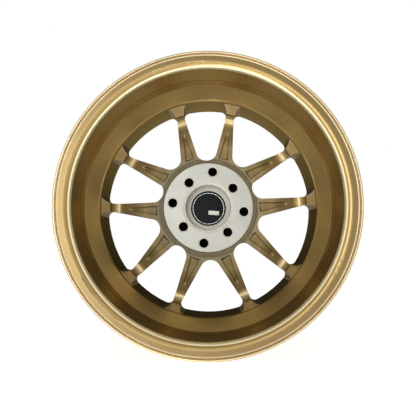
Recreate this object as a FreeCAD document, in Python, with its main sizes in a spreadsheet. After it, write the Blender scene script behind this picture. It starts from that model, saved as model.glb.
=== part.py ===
"""A 15 x 8 in forged racing wheel rim, with its centre cap, hole plugs and tyre valve.

The wheel turns about Y.  The origin is where that axis meets the rim's centre plane.
+Y is outboard (the street side), -Y is inboard (the brake side) and +Z is up.
Angles run from +X towards +Z.  All sizes are in millimetres and degrees.
"""

import FreeCAD, Part
import math
import os

import Sketcher
from FreeCAD import Placement, Rotation, Vector


# Driving dimensions.  Each becomes one aliased cell of the sheet.
DIMENSIONS = {
    # Barrel: widths and heights along the axle (y) are measured from the rim's centre plane.
    "overall_width": 228.6,
    "bead_face_width": 203.2,
    "flange_radius": 207.6,
    "flange_edge": 5.0,
    "flange_curl": 6.0,
    "flange_foot": 6.5,
    "seat_radius": 190.1,
    "seat_inner_radius": 188.6,
    "seat_inner_width": 166.4,
    "hump_radius": 189.9,
    "hump_width": 161.2,
    "leg_radius": 188.3,
    "leg_width": 155.6,
    "well_radius": 173.2,
    "well_inboard_end": 3.0,
    "well_outboard_end": 73.0,
    "shoulder_outboard_end": 77.0,
    "slope_inboard_end": -31.0,
    "skirt_bore_radius": 184.0,
    "skirt_step": 0.5,
    "skirt_step_place": -55.0,
    "skirt_bore_end": -30.0,
    "well_bore_radius": 169.5,
    "well_bore_start": 2.0,
    "well_bore_end": 78.0,
    "lip_wall_end": 82.2,
    "outboard_lip_radius": 185.6,
    "lip_face_round": 10.5,
    "lip_face_recess": 1.2,
    "lip_ridge_recess": 0.4,
    "lip_groove_depth": 1.6,
    "lip_tip_inner_radius": 205.2,
    "lip_groove_radius": 203.8,
    "lip_ridge_radius": 201.9,
    "lip_face_radius": 201.2,
    "lip_edge_round": 1.5,
    "lip_soft_round": 0.5,
    "well_corner_round": 9.0,
    "bead_corner_round": 3.0,
    # Hub.
    "pad_place": 20.0,
    "pad_radius": 71.0,
    "pad_height": 2.5,
    "pad_edge": 0.8,
    "hub_back_radius": 74.0,
    "hub_back_drop": 4.5,
    "bore_radius": 36.55,
    "bore_chamfer": 3.9,
    "bore_end": 51.5,
    "cap_lip_radius": 28.8,
    "cap_seat_place": 62.0,
    "cap_seat_radius": 32.6,
    "hub_front_place": 68.0,
    "hub_front_radius": 73.0,
    # Spokes: a dished disc, cut by ten windows.
    "spoke_root_radius": 80.0,
    "spoke_root_back": 30.5,
    "spoke_root_front": 64.0,
    "spoke_heel_radius": 158.9,
    "spoke_heel_back": 74.45,
    "spoke_heel_round": 12.0,
    "spoke_crown_radius": 160.0,
    "spoke_crown_front": 96.0,
    "spoke_crown_round": 40.0,
    "spoke_tip_front": 91.0,
    "rib_top_place": 14.0,
    "rib_top_height": 0.6,
    "rim_pairs": 5,
    "seam_angle": 36.6,
    "narrow_window_angle": 20.0,
    "wide_window_angle": 56.0,
    "narrow_window_start": 76.1,
    "narrow_window_end_radius": 16.8,
    "narrow_window_splay": 15.9,
    "narrow_window_corner": 8.0,
    "rib_corner": 9.0,
    "rib_end": 78.0,
    "window_front_radius": 173.0,
    "wide_window_start": 83.5,
    "wide_window_end_radius": 16.6,
    "wide_window_splay": 31.0,
    "wide_window_corner": 9.0,
    # Long tapered relief milled into the back of each spoke.
    "relief_root_radius": 83.2,
    "relief_root_angle": 19.1,
    "relief_lean": 11.6,
    "relief_length": 53.8,
    "relief_root_width": 15.4,
    "relief_tip_width": 4.4,
    "relief_clearance": 1.0,
    "relief_depth": 5.5,
    # Wheel fixings: two circles of four holes share the pad.
    "small_circle": 100.0,
    "small_circle_angle": 38.0,
    "large_circle": 114.3,
    "large_circle_angle": 83.0,
    "holes_per_circle": 4,
    "stud_hole_radius": 7.25,
    "stud_hole_chamfer": 1.5,
    "nut_seat_place": 44.0,
    "nut_seat_radius": 11.0,
    "nut_seat_height": 6.5,
    "nut_well_radius": 13.5,
    # Push-in plugs in the nut wells.
    "plug_skirt_radius": 13.2,
    "plug_skirt_wall": 1.8,
    "plug_skirt_start": 52.0,
    "plug_head_radius": 15.0,
    "plug_head_gap": 0.3,
    "plug_head_height": 2.2,
    "plug_floor": 2.4,
    "plug_dimple_radius": 5.0,
    "plug_dimple_depth": 1.0,
    # Centre cap.
    "cap_skirt_radius": 28.4,
    "cap_skirt_wall": 1.9,
    "cap_skirt_start": 52.5,
    "cap_floor_place": 64.0,
    "cap_rim_start": 63.9,
    "cap_rim_radius": 32.2,
    "cap_front_place": 71.5,
    "cap_front_round": 3.0,
    "cap_recess_radius": 26.2,
    "cap_recess_depth": 1.8,
    "cap_slot_width": 3.0,
    "cap_slot_end": 60.5,
    "cap_slot_count": 8,
    "wire_ring_radius": 25.65,
    "wire_thickness": 1.6,
    "wire_ring_place": 55.5,
    "cap_seal_radius": 30.6,
    "cap_seal_thickness": 1.7,
    "emblem_radius": 26.0,
    "emblem_thickness": 1.4,
    "adhesive_radius": 25.4,
    "adhesive_thickness": 0.4,
    "label_length": 17.5,
    "label_height": 6.6,
    "label_thickness": 0.2,
    "label_across": 8.7,
    "label_up": -6.8,
    "label_turn": 4.0,
    # Clamp-in valve, parallel to the axle, in the outboard wall of the well.
    "valve_circle_radius": 179.3,
    "valve_angle": 308.0,
    "valve_hole_radius": 4.15,
    "valve_spot_radius": 5.95,
    "valve_inner_spot": 75.8,
    "valve_outer_spot": 78.8,
    "valve_head_radius": 5.7,
    "valve_head_start": 71.6,
    "valve_head_height": 2.2,
    "valve_shank_radius": 3.6,
    "valve_shank_end": 90.0,
    "valve_neck_radius": 3.5,
    "valve_tip_place": 101.0,
    "valve_bore_radius": 2.5,
    "grommet_radius": 5.8,
    "grommet_collar_end": 77.4,
    "washer_radius": 5.8,
    "washer_thickness": 1.2,
    "nut_flats": 10.0,
    "nut_height": 4.5,
    "core_start": 86.0,
    "core_end": 99.8,
    "core_bore_radius": 1.5,
    "core_groove_start": 91.0,
    "core_groove_end": 93.4,
    "core_groove_radius": 2.0,
    "core_neck_radius": 0.85,
    "core_neck_height": 1.6,
    "pin_radius": 0.6,
    "pin_start": 82.4,
    "pin_end": 100.4,
    "pin_collar_radius": 1.2,
    "pin_collar_place": 95.8,
    "pin_collar_height": 0.8,
    "part_gap": 0.1,
    "poppet_radius": 2.0,
    "poppet_height": 2.0,
    "spring_radius": 1.05,
    "spring_wire": 0.3,
    "spring_start": 87.9,
    "spring_end": 95.5,
    "spring_turns": 7,
    "dust_cap_radius": 5.2,
    "dust_cap_bore": 3.9,
    "dust_cap_start": 91.2,
    "dust_cap_end": 104.0,
    "dust_cap_roof": 1.6,
    "dust_cap_round": 1.2,
    "dust_seal_radius": 3.7,
    "dust_seal_thickness": 1.0,
}

SHEET = "Sizes"
FULL_TURN = 360.0
THROUGH_ALL = 1
HORIZONTAL_AXIS = -1
VERTICAL_AXIS = -2
ORIGIN = (-1, 1)
START = 1
END = 2
CENTRE = 3
OVERSHOOT = 4.0
SAME_PLACE = 0.01


class Size:
    """A length or angle that carries both its number and the sheet formula that gives it."""

    def __init__(self, number, formula):
        self.number = number
        self.formula = formula

    def _join(self, other, sign, number):
        formula = other.formula if isinstance(other, Size) else repr(other)
        return Size(number, f"({self.formula} {sign} {formula})")

    def __add__(self, other):
        return self._join(other, "+", self.number + plain(other))

    def __sub__(self, other):
        return self._join(other, "-", self.number - plain(other))

    def __mul__(self, other):
        return self._join(other, "*", self.number * plain(other))

    def __truediv__(self, other):
        return self._join(other, "/", self.number / plain(other))

    def __neg__(self):
        return Size(-self.number, f"(-1 * {self.formula})")


def plain(value):
    """The bare number of a Size or of a number."""
    return value.number if isinstance(value, Size) else float(value)


class Sizes:
    """The sheet's dimensions as attributes, so that a formula reads as it is written."""

    def __init__(self, document, dimensions):
        sheet = document.addObject("Spreadsheet::Sheet", SHEET)
        for row, (name, number) in enumerate(dimensions.items(), start=1):
            sheet.set(f"A{row}", name)
            sheet.set(f"B{row}", str(number))
            sheet.setAlias(f"B{row}", name)
            setattr(self, name, Size(float(number), f"{SHEET}.{name}"))
        document.recompute()


doc = FreeCAD.newDocument("racing_wheel_rim")
d = Sizes(doc, DIMENSIONS)
NOTHING = Size(0.0, "0")
AXIS_LENGTH = Size(OVERSHOOT, repr(OVERSHOOT))


# ---------------------------------------------------------------- sketching helpers


def drive(target, path, size):
    """Bind one property of an object to a formula of the sheet."""
    target.setExpression(path, size.formula)


def hold(sketch, kind, arguments, size):
    """Add a dimension to a sketch and bind it to the sheet."""
    index = sketch.addConstraint(Sketcher.Constraint(kind, *arguments, size.number))
    sketch.setExpression(f"Constraints[{index}]", size.formula)


def draw_outline(sketch, corners):
    """Draw a closed outline of straight lines through (across, up) corners."""
    spots = [Vector(plain(corner[0]), plain(corner[1]), 0) for corner in corners]
    sides = [Part.LineSegment(spot, spots[(index + 1) % len(spots)]) for index, spot in enumerate(spots)]
    lines = sketch.addGeometry(sides, False)
    joints = [Sketcher.Constraint("Coincident", lines[index - 1], END, line, START)
              for index, line in enumerate(lines)]
    sketch.addConstraint(joints)
    pin_vertices(sketch, [((line, START), corner[0], corner[1]) for line, corner in zip(lines, corners)])


def pin_vertices(sketch, places):
    """Hold vertices at sheet-driven distances from the sketch's origin."""
    constraints = []
    formulas = []
    for vertex, across, up in places:
        for kind, axis, size in (
            ("DistanceX", VERTICAL_AXIS, across),
            ("DistanceY", HORIZONTAL_AXIS, up),
        ):
            if plain(size) == 0:
                constraints.append(Sketcher.Constraint("PointOnObject", *vertex, axis))
                formulas.append(None)
            else:
                constraints.append(Sketcher.Constraint(kind, *ORIGIN, *vertex, size.number))
                formulas.append(size.formula)
    for index, formula in zip(sketch.addConstraint(constraints), formulas):
        if formula:
            sketch.setExpression(f"Constraints[{index}]", formula)


def origin_feature(body, role):
    """One of a body's own origin planes or axes."""
    for feature in body.Origin.OriginFeatures:
        if feature.Role == role:
            return feature
    raise ValueError(role)


def new_body(label):
    """An empty body, named and allowed to hold several separate solids."""
    body = doc.addObject("PartDesign::Body", label)
    body.Label = label
    body.AllowCompound = True
    return body


def new_sketch(body, name, role):
    """A sketch on one of the body's origin planes."""
    sketch = body.newObject("Sketcher::SketchObject", name)
    sketch.AttachmentSupport = [(origin_feature(body, role), "")]
    sketch.MapMode = "FlatFace"
    return sketch


def turn(body, name, corners, axis_radius=NOTHING, cut=False, angle=None):
    """Turn a half section right round an axis parallel to the axle, as material or as a cut.

    A corner is (radius, place along the axle) or (radius, place, round).
    """
    sketch = new_sketch(body, f"{name}_section", "XY_Plane")
    if angle is not None:
        swing = Placement(Vector(), Rotation(Vector(0, 1, 0), -angle.number))
        sketch.AttachmentOffset = swing
        drive(sketch, "AttachmentOffset.Rotation.Angle", -angle)
    draw_outline(sketch, [(axis_radius + corner[0], corner[1]) for corner in corners])
    axis = sketch.addGeometry(Part.LineSegment(Vector(axis_radius.number, 0, 0),
                                               Vector(axis_radius.number, AXIS_LENGTH.number, 0)), True)
    pin_vertices(sketch, [((axis, START), axis_radius, NOTHING), ((axis, END), axis_radius, AXIS_LENGTH)])
    feature = body.newObject("PartDesign::Groove" if cut else "PartDesign::Revolution", name)
    feature.Profile = sketch
    feature.ReferenceAxis = (sketch, ["Axis0"])
    feature.Angle = FULL_TURN
    body.Tip = feature
    doc.recompute()
    rounds = {}
    for corner in corners:
        if len(corner) == 3:
            rounds.setdefault(corner[2].formula, []).append(corner)
    for number, group in enumerate(rounds.values(), start=1):
        feature = round_corners(body, f"{name}_round_{number}", feature, group)
    return feature


def round_corners(body, name, base, corners):
    """Round the circular edges that a turned section's corners leave."""
    wanted = [(plain(radius), plain(place)) for radius, place, _ in corners]
    edges = []
    for number, edge in enumerate(base.Shape.Edges, start=1):
        if not isinstance(edge.Curve, Part.Circle):
            continue
        found = (edge.Curve.Radius, edge.Curve.Center.y)
        if any(math.dist(found, spot) < SAME_PLACE for spot in wanted):
            edges.append(f"Edge{number}")
    fillet = body.newObject("PartDesign::Fillet", name)
    fillet.Base = (base, edges)
    fillet.Radius = corners[0][2].number
    drive(fillet, "Radius", corners[0][2])
    body.Tip = fillet
    doc.recompute()
    return fillet


def repeat(body, name, originals, count):
    """Repeat features evenly round the axle."""
    pattern = body.newObject("PartDesign::PolarPattern", name)
    pattern.Originals = originals
    pattern.Axis = (origin_feature(body, "Y_Axis"), [""])
    pattern.Angle = FULL_TURN
    drive(pattern, "Occurrences", count)
    body.Tip = pattern
    return pattern


def turned_piece(label, corners):
    """A body made by one full turn about its own Y axis."""
    body = new_body(label)
    turn(body, f"{label}_turned", corners)
    return body


# ---------------------------------------------------------------- barrel


def barrel():
    """The spun barrel: both flanges, bead seats, safety humps and the drop centre."""
    outer = d.overall_width / 2
    bead_face = d.bead_face_width / 2
    seat = d.seat_inner_width / 2
    hump = d.hump_width / 2
    leg = d.leg_width / 2
    edge = outer - d.flange_edge
    face = outer - d.lip_face_recess
    ridge = outer - d.lip_ridge_recess
    groove = outer - d.lip_groove_depth
    tip = d.flange_radius
    soft = d.lip_soft_round
    step_radius = d.skirt_bore_radius + d.skirt_step
    body = new_body("rim_barrel")
    inboard_lip = [
        (tip, -edge, soft),
        (tip, -outer, d.lip_edge_round),
        (d.lip_tip_inner_radius, -outer, soft),
        (d.lip_groove_radius + soft, -groove),
        (d.lip_groove_radius, -groove),
        (d.lip_ridge_radius + soft, -ridge),
        (d.lip_ridge_radius, -ridge),
        (d.lip_face_radius, -face),
        (d.skirt_bore_radius, -face, d.lip_face_round),
    ]
    inside = [
        (d.skirt_bore_radius, d.skirt_step_place),
        (step_radius, d.skirt_step_place + d.skirt_step),
        (step_radius, d.skirt_bore_end, soft),
        (d.well_bore_radius, d.well_bore_start, d.well_corner_round),
        (d.well_bore_radius, d.well_bore_end, soft),
        (d.outboard_lip_radius, d.lip_wall_end, d.bead_corner_round),
    ]
    outboard_lip = [
        (d.outboard_lip_radius, outer, d.lip_face_round),
        (tip, outer, d.lip_edge_round),
        (tip, edge, soft),
        (tip - d.flange_curl, bead_face, d.flange_curl),
        (d.seat_radius, bead_face, d.flange_foot),
        (d.seat_inner_radius, seat),
        (d.hump_radius, hump, soft),
        (d.leg_radius, leg),
        (d.leg_radius, d.shoulder_outboard_end, soft),
    ]
    outside = [
        (d.well_radius, d.well_outboard_end, d.bead_corner_round),
        (d.well_radius, d.well_inboard_end, d.well_corner_round),
        (d.leg_radius, d.slope_inboard_end, d.well_corner_round),
        (d.leg_radius, -leg),
        (d.hump_radius, -hump, soft),
        (d.seat_inner_radius, -seat),
        (d.seat_radius, -bead_face, d.flange_foot),
        (tip - d.flange_curl, -bead_face, d.flange_curl),
    ]
    turn(body, "barrel_turned", inboard_lip + inside + outboard_lip + outside)
    bore_valve_hole(body)
    return body


def bore_valve_hole(body):
    """The valve hole, spot-faced flat on both sides of the well's outboard wall."""
    inner_start = d.valve_inner_spot - OVERSHOOT * 2
    cuts = (
        ("valve_hole", d.valve_hole_radius, inner_start, d.overall_width / 2),
        ("valve_inner_spot", d.valve_spot_radius, inner_start, d.valve_inner_spot),
        ("valve_outer_spot", d.valve_spot_radius, d.valve_outer_spot, d.overall_width / 2),
    )
    for name, radius, start, end in cuts:
        corners = [(NOTHING, start), (radius, start), (radius, end), (NOTHING, end)]
        turn(body, name, corners, axis_radius=d.valve_circle_radius, cut=True, angle=d.valve_angle)


# ---------------------------------------------------------------- hub and spokes


def wheel_centre():
    """The forged centre: hub, pad and ten paired spokes, with the windows cut through."""
    body = new_body("wheel_centre")
    pad = d.pad_place
    bore = d.bore_radius
    outer = d.well_bore_radius
    corners = [
        (bore + d.bore_chamfer, pad),
        (d.pad_radius - d.pad_edge, pad),
        (d.pad_radius, pad + d.pad_edge),
        (d.pad_radius, pad + d.pad_height),
        (d.hub_back_radius, pad + d.hub_back_drop, d.bead_corner_round),
        (d.spoke_root_radius, d.spoke_root_back, d.bead_corner_round),
        (d.spoke_heel_radius, d.spoke_heel_back, d.spoke_heel_round),
        (outer - d.rib_top_height, d.rib_top_place),
        (outer, d.rib_top_place),
        (outer, d.well_bore_end),
        (d.outboard_lip_radius, d.lip_wall_end, d.bead_corner_round),
        (d.outboard_lip_radius, d.spoke_tip_front),
        (d.spoke_crown_radius, d.spoke_crown_front, d.spoke_crown_round),
        (d.spoke_root_radius, d.spoke_root_front),
        (d.hub_front_radius, d.hub_front_place, d.bead_corner_round),
        (d.cap_seat_radius, d.hub_front_place),
        (d.cap_seat_radius, d.cap_seat_place),
        (d.cap_lip_radius, d.cap_seat_place),
        (d.cap_lip_radius, d.bore_end),
        (bore, d.bore_end),
        (bore, pad + d.bore_chamfer),
    ]
    turn(body, "centre_turned", corners, angle=d.seam_angle)
    cut_windows(body)
    mill_reliefs(body)
    bore_stud_holes(body)
    return body


def spoke_plane(body, name, angle):
    """A sketch square to the axle, turned so that its X axis runs out at an angle."""
    sketch = new_sketch(body, name, "XZ_Plane")
    sketch.AttachmentOffset = Placement(Vector(), Rotation(Vector(0, 0, 1), angle.number))
    drive(sketch, "AttachmentOffset.Rotation.Angle", angle)
    return sketch


def cut_windows(body):
    """Narrow and wide windows round the axle, in two depths.

    The corners of the outboard depth run into the centre's own rim.  Those of the inboard depth, beside
    the ribs that climb the barrel, run into the bore of the barrel.
    """
    shapes = (
        ("narrow_window", d.narrow_window_angle, d.narrow_window_start, d.narrow_window_end_radius,
         d.narrow_window_splay, d.narrow_window_corner),
        ("wide_window", d.wide_window_angle, d.wide_window_start, d.wide_window_end_radius,
         d.wide_window_splay, d.wide_window_corner),
    )
    for name, angle, start, end_radius, splay, corner in shapes:
        front = cut_window(body, name, angle, start, end_radius, splay, corner,
                           d.window_front_radius, inboard=False)
        repeat(body, f"{name}s", [front], d.rim_pairs)
        back = cut_window(body, f"{name}_rib_sides", angle, start, end_radius, splay, d.rib_corner,
                          d.well_bore_radius, inboard=True)
        repeat(body, f"{name}_ribs", [back], d.rim_pairs)


def round_arc(centre, radius, first_angle, last_angle):
    """An arc of a circle, anticlockwise between two angles in radians."""
    return Part.ArcOfCircle(Part.Circle(centre, Vector(0, 0, 1), radius), first_angle, last_angle)


def cut_window(body, name, angle, start, end_radius, splay, corner, rim, inboard):
    """Cut one depth of a window: a round inner end, splayed sides and corners tangent to a rim circle.

    It goes from the end of the ribs to the inboard side, or to the outboard side.
    """
    sketch = spoke_plane(body, f"{name}_outline", angle)
    drive(sketch, "AttachmentOffset.Base.z", -d.rib_end)
    clear = d.outboard_lip_radius + OVERSHOOT
    lean = math.radians(splay.number)
    along = Vector(math.cos(lean), math.sin(lean), 0)
    across = Vector(-math.sin(lean), math.cos(lean), 0)
    middle = start + end_radius
    round_centre = Vector(middle.number, 0, 0)
    side_start = round_centre + across * end_radius.number
    # The corner's centre lies one corner radius inside both the side and the rim circle.
    base = side_start - across * corner.number
    reach = rim.number - corner.number
    half = base.dot(along)
    run = math.sqrt(half ** 2 - base.dot(base) + reach ** 2) - half
    corner_centre = base + along * run
    side_end = corner_centre + across * corner.number
    bearing = math.atan2(corner_centre.y, corner_centre.x)
    outward = Vector(math.cos(bearing), math.sin(bearing), 0)
    rim_point = outward * rim.number
    clear_point = outward * clear.number
    turned = lean + math.pi / 2
    inner, side, bend, relief, outer, far_relief, far_bend, far_side = sketch.addGeometry([
        round_arc(round_centre, end_radius.number, turned, 2 * math.pi - turned),
        Part.LineSegment(side_start, side_end),
        round_arc(corner_centre, corner.number, bearing, turned),
        Part.LineSegment(rim_point, clear_point),
        round_arc(Vector(), clear.number, -bearing, bearing),
        Part.LineSegment(flipped(clear_point), flipped(rim_point)),
        round_arc(flipped(corner_centre), corner.number, -turned, -bearing),
        Part.LineSegment(flipped(side_end), flipped(side_start)),
    ], False)
    rim_circle = sketch.addGeometry(Part.Circle(Vector(), Vector(0, 0, 1), rim.number), True)
    relations = (
        ("Tangent", inner, START, side, START),
        ("Tangent", inner, END, far_side, END),
        ("Tangent", side, END, bend, END),
        ("Tangent", far_bend, START, far_side, START),
        ("Coincident", bend, START, relief, START),
        ("Coincident", relief, END, outer, END),
        ("Coincident", outer, START, far_relief, START),
        ("Coincident", far_relief, END, far_bend, END),
        ("PointOnObject", inner, CENTRE, HORIZONTAL_AXIS),
        ("Coincident", outer, CENTRE, *ORIGIN),
        ("Coincident", rim_circle, CENTRE, *ORIGIN),
        ("Tangent", bend, START, rim_circle),
        ("Tangent", far_bend, END, rim_circle),
        ("PointOnObject", *ORIGIN, relief),
        ("PointOnObject", *ORIGIN, far_relief),
        ("Equal", bend, far_bend),
    )
    sketch.addConstraint([Sketcher.Constraint(*relation) for relation in relations])
    hold(sketch, "DistanceX", (*ORIGIN, inner, CENTRE), middle)
    hold(sketch, "Radius", (inner,), end_radius)
    hold(sketch, "Radius", (bend,), corner)
    hold(sketch, "Radius", (rim_circle,), rim)
    hold(sketch, "Radius", (outer,), clear)
    hold_angle(sketch, (HORIZONTAL_AXIS, START, side, START), splay)
    hold_angle(sketch, (far_side, END, HORIZONTAL_AXIS, START), splay)
    window = body.newObject("PartDesign::Pocket", name)
    window.Profile = sketch
    window.Type = THROUGH_ALL
    window.Reversed = inboard
    body.Tip = window
    return window


def flipped(point):
    """The mirror image of a sketch point across the sketch's X axis."""
    return Vector(point.x, -point.y, 0)


def hold_angle(sketch, arguments, size):
    """Add an angle in degrees to a sketch and bind it to the sheet."""
    index = sketch.addConstraint(Sketcher.Constraint("Angle", *arguments, math.radians(size.number)))
    sketch.setExpression(f"Constraints[{index}]", f"{size.formula} * 1 deg")


def mill_reliefs(body):
    """The long tapered relief in the back of each spoke of a pair, then round the axle."""
    reliefs = [mill_relief(body, name, side) for name, side in (("left_relief", 1), ("right_relief", -1))]
    repeat(body, "reliefs", reliefs, d.rim_pairs)


def mill_relief(body, name, side):
    """One relief: a wide square root, a narrow round tip and a floor parallel to the spoke's back."""
    slope = (d.spoke_heel_back - d.spoke_root_back) / (d.spoke_heel_radius - d.spoke_root_radius)
    root_angle = d.narrow_window_angle + d.relief_root_angle * side
    lean = d.narrow_window_angle + d.relief_lean * side
    root_back = d.spoke_root_back + slope * (d.relief_root_radius - d.spoke_root_radius)
    plane_place = d.relief_clearance - root_back
    sketch = new_sketch(body, f"{name}_outline", "XZ_Plane")
    bearing = math.radians(root_angle.number)
    radius = d.relief_root_radius.number
    spot = Vector(radius * math.cos(bearing), radius * math.sin(bearing), plane_place.number)
    outward = Rotation(Vector(0, 0, 1), lean.number)
    dished = Rotation(Vector(0, 1, 0), math.degrees(math.atan(slope.number)))
    sketch.AttachmentOffset = Placement(spot, outward * dished)
    across = f"{d.relief_root_radius.formula} * cos({root_angle.formula})"
    up = f"{d.relief_root_radius.formula} * sin({root_angle.formula})"
    sketch.setExpression("AttachmentOffset", (
        f"placement(vector({across}; {up}; {plane_place.formula});"
        f" rotation(vector(0; 0; 1); {lean.formula}) * rotation(vector(0; 1; 0); atan({slope.formula})))"
    ))
    draw_relief(sketch)
    relief = body.newObject("PartDesign::Pocket", name)
    relief.Profile = sketch
    relief.Length = (d.relief_depth + d.relief_clearance).number
    drive(relief, "Length", d.relief_depth + d.relief_clearance)
    body.Tip = relief
    return relief


def draw_relief(sketch):
    """The relief's outline: its root on the Y axis, its round tip on the X axis."""
    half_root = d.relief_root_width / 2
    tip_radius = d.relief_tip_width / 2
    tip = Vector(d.relief_length.number, 0, 0)
    root = Vector(0, half_root.number, 0)
    span = tip - root
    heading = math.atan2(span.y, span.x) + math.asin(tip_radius.number / span.Length)
    square = heading + math.pi / 2
    touch = tip + Vector(math.cos(square), math.sin(square), 0) * tip_radius.number
    side, bend, far_side, back = sketch.addGeometry([
        Part.LineSegment(root, touch),
        round_arc(tip, tip_radius.number, -square, square),
        Part.LineSegment(flipped(touch), flipped(root)),
        Part.LineSegment(flipped(root), root),
    ], False)
    relations = (
        ("Coincident", back, END, side, START),
        ("Tangent", side, END, bend, END),
        ("Tangent", bend, START, far_side, START),
        ("Coincident", far_side, END, back, START),
        ("PointOnObject", bend, CENTRE, HORIZONTAL_AXIS),
    )
    sketch.addConstraint([Sketcher.Constraint(*relation) for relation in relations])
    hold(sketch, "DistanceX", (*ORIGIN, bend, CENTRE), d.relief_length)
    hold(sketch, "Radius", (bend,), tip_radius)
    pin_vertices(sketch, [((side, START), NOTHING, half_root), ((far_side, END), NOTHING, -half_root)])


def bore_stud_holes(body):
    """Two circles of stud holes, each with a chamfered mouth, a conical nut seat and a nut well."""
    mouth = d.stud_hole_radius + d.stud_hole_chamfer
    seat_top = d.nut_seat_place + d.nut_seat_height
    front = d.hub_front_place + OVERSHOOT
    corners = [
        (NOTHING, d.pad_place - OVERSHOOT),
        (mouth + OVERSHOOT, d.pad_place - OVERSHOOT),
        (d.stud_hole_radius, d.pad_place + d.stud_hole_chamfer),
        (d.stud_hole_radius, d.nut_seat_place),
        (d.nut_seat_radius, seat_top),
        (d.nut_well_radius, seat_top),
        (d.nut_well_radius, front),
        (NOTHING, front),
    ]
    circles = (
        ("small_circle", d.small_circle, d.small_circle_angle),
        ("large_circle", d.large_circle, d.large_circle_angle),
    )
    for name, circle, angle in circles:
        hole = turn(body, f"{name}_hole", corners, axis_radius=circle / 2, cut=True, angle=angle)
        repeat(body, f"{name}_holes", [hole], d.holes_per_circle)


def hole_plugs(label, circle, angle):
    """Four push-in plugs that close the nut wells of one circle of holes."""
    seat = d.hub_front_place + d.plug_head_gap
    front = seat + d.plug_head_height
    inner = d.plug_skirt_radius - d.plug_skirt_wall
    corners = [
        (NOTHING, front - d.plug_dimple_depth),
        (d.plug_dimple_radius, front - d.plug_dimple_depth),
        (d.plug_dimple_radius, front),
        (d.plug_head_radius, front),
        (d.plug_head_radius, seat),
        (d.plug_skirt_radius, seat),
        (d.plug_skirt_radius, d.plug_skirt_start),
        (inner, d.plug_skirt_start),
        (inner, front - d.plug_floor),
        (NOTHING, front - d.plug_floor),
    ]
    body = new_body(label)
    plug = turn(body, f"{label}_turned", corners, axis_radius=circle / 2, angle=angle)
    repeat(body, f"{label}_set", [plug], d.holes_per_circle)
    return body


# ---------------------------------------------------------------- centre cap


def centre_cap():
    """The moulded cap: a rim that sits in the hub's front and a slotted skirt down the bore."""
    inner = d.cap_skirt_radius - d.cap_skirt_wall
    recess = d.cap_front_place - d.cap_recess_depth
    body = turned_piece("centre_cap", [
        (NOTHING, d.cap_floor_place),
        (inner, d.cap_floor_place),
        (inner, d.cap_skirt_start),
        (d.cap_skirt_radius, d.cap_skirt_start),
        (d.cap_skirt_radius, d.cap_rim_start),
        (d.cap_rim_radius, d.cap_rim_start),
        (d.cap_rim_radius, d.cap_front_place, d.cap_front_round),
        (d.cap_recess_radius, d.cap_front_place),
        (d.cap_recess_radius, recess),
        (NOTHING, recess),
    ])
    sketch = new_sketch(body, "skirt_slot_outline", "XY_Plane")
    draw_outline(sketch, [
        (inner - OVERSHOOT, d.cap_skirt_start - OVERSHOOT),
        (d.cap_skirt_radius + OVERSHOOT, d.cap_skirt_start - OVERSHOOT),
        (d.cap_skirt_radius + OVERSHOOT, d.cap_slot_end),
        (inner - OVERSHOOT, d.cap_slot_end),
    ])
    slot = body.newObject("PartDesign::Pocket", "skirt_slot")
    slot.Profile = sketch
    slot.Midplane = True
    slot.Length = d.cap_slot_width.number
    drive(slot, "Length", d.cap_slot_width)
    body.Tip = slot
    repeat(body, "skirt_slots", [slot], d.cap_slot_count)
    return body


def ring(label, radius, thickness, place):
    """A round-section ring about the axle."""
    torus = doc.addObject("Part::Torus", label)
    torus.Label = label
    drive(torus, "Radius1", radius)
    drive(torus, "Radius2", thickness / 2)
    torus.Placement = Placement(Vector(0, place.number, 0), Rotation(Vector(1, 0, 0), 90))
    drive(torus, "Placement.Base.y", place)
    return torus


def disc(label, radius, start, thickness):
    """A flat disc square to the axle."""
    end = start + thickness
    return turned_piece(label, [(NOTHING, start), (radius, start), (radius, end), (NOTHING, end)])


def rear_label():
    """A small blank paper label on the inboard face of the cap."""
    box = doc.addObject("Part::Box", "cap_rear_label")
    box.Label = "cap_rear_label"
    drive(box, "Length", d.label_length)
    drive(box, "Width", d.label_thickness)
    drive(box, "Height", d.label_height)
    half = Vector(d.label_length.number / 2, 0, d.label_height.number / 2)
    tilt = Rotation(Vector(0, 1, 0), d.label_turn.number)
    spot = Vector(d.label_across.number, plain(d.cap_floor_place - d.label_thickness), d.label_up.number)
    box.Placement = Placement(spot - tilt.multVec(half), tilt)
    drive(box, "Placement.Base.y", d.cap_floor_place - d.label_thickness)
    drive(box, "Placement.Rotation.Angle", d.label_turn)
    return box


# ---------------------------------------------------------------- valve


def move_to_valve(piece):
    """Put a piece made about its own Y axis on the valve's axis."""
    radius = d.valve_circle_radius
    angle = math.radians(d.valve_angle.number)
    spot = Vector(radius.number * math.cos(angle), piece.Placement.Base.y, radius.number * math.sin(angle))
    piece.Placement = Placement(spot, piece.Placement.Rotation)
    piece.setExpression("Placement.Base.x", f"{radius.formula} * cos({d.valve_angle.formula})")
    piece.setExpression("Placement.Base.z", f"{radius.formula} * sin({d.valve_angle.formula})")
    return piece


def tube(label, inner, outer, start, end):
    """A plain tube on the valve's axis."""
    corners = [(inner, start), (outer, start), (outer, end), (inner, end)]
    return move_to_valve(turned_piece(label, corners))


def valve_stem():
    """The clamped stem: a head in the tyre's air, a threaded shank and a threaded tip."""
    head_end = d.valve_head_start + d.valve_head_height
    return move_to_valve(turned_piece("valve_stem", [
        (d.valve_bore_radius, d.valve_head_start),
        (d.valve_head_radius, d.valve_head_start),
        (d.valve_head_radius, head_end),
        (d.valve_shank_radius, head_end),
        (d.valve_shank_radius, d.valve_shank_end),
        (d.valve_neck_radius, d.valve_shank_end + d.part_gap),
        (d.valve_neck_radius, d.valve_tip_place),
        (d.valve_bore_radius, d.valve_tip_place),
    ]))


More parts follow.
